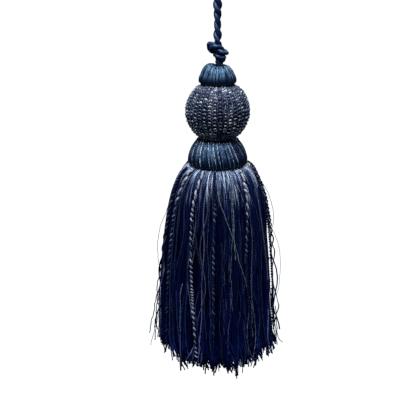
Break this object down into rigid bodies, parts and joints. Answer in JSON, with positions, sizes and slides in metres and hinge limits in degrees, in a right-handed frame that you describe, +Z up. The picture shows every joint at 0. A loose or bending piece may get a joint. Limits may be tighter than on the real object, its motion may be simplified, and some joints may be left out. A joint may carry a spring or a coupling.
{
  "type": "key tassel",
  "caption": "Key tassel: a chain-stitched ball between two wound ruffs, over a full cut skirt laid with twisted cords, hung by a knotted cord and loop.",
  "frame": {"origin": "inside top of the hanging loop, on the tassel's axis, where a key, knob or hook bears", "axes": "+Z up along the tassel's axis; the front faces -Y; the loop lies in the XZ plane"},
  "size_m": [0.0638, 0.0659, 0.2308],
  "materials": {
    "cord_satin": "navy satin cord, two legs twisted to the left",
    "ruff_floss": "glossy navy rayon floss, wound side by side",
    "ball_chain": "silver-grey and navy yarn in upright rows of chain stitch",
    "skirt_thread": "glossy navy rayon thread, cut ends",
    "silver_twist": "silver-grey ply twisted with a navy ply"
  },
  "bodies": {
    "root": {"hanging_loop": "cord_satin", "hanging_cord": "cord_satin", "knot": "cord_satin", "top_ruff": "ruff_floss", "ball": "ball_chain", "neck_ruff": "ruff_floss", "skirt": "skirt_thread", "fringe_cord_01": "silver_twist", "fringe_cord_02": "silver_twist", "fringe_cord_03": "silver_twist", "fringe_cord_04": "silver_twist", "fringe_cord_05": "silver_twist", "fringe_cord_06": "silver_twist", "fringe_cord_07": "silver_twist", "fringe_cord_08": "silver_twist", "fringe_cord_09": "silver_twist", "fringe_cord_10": "silver_twist", "fringe_cord_11": "silver_twist", "fringe_cord_12": "silver_twist"}
  },
  "joints": []
}
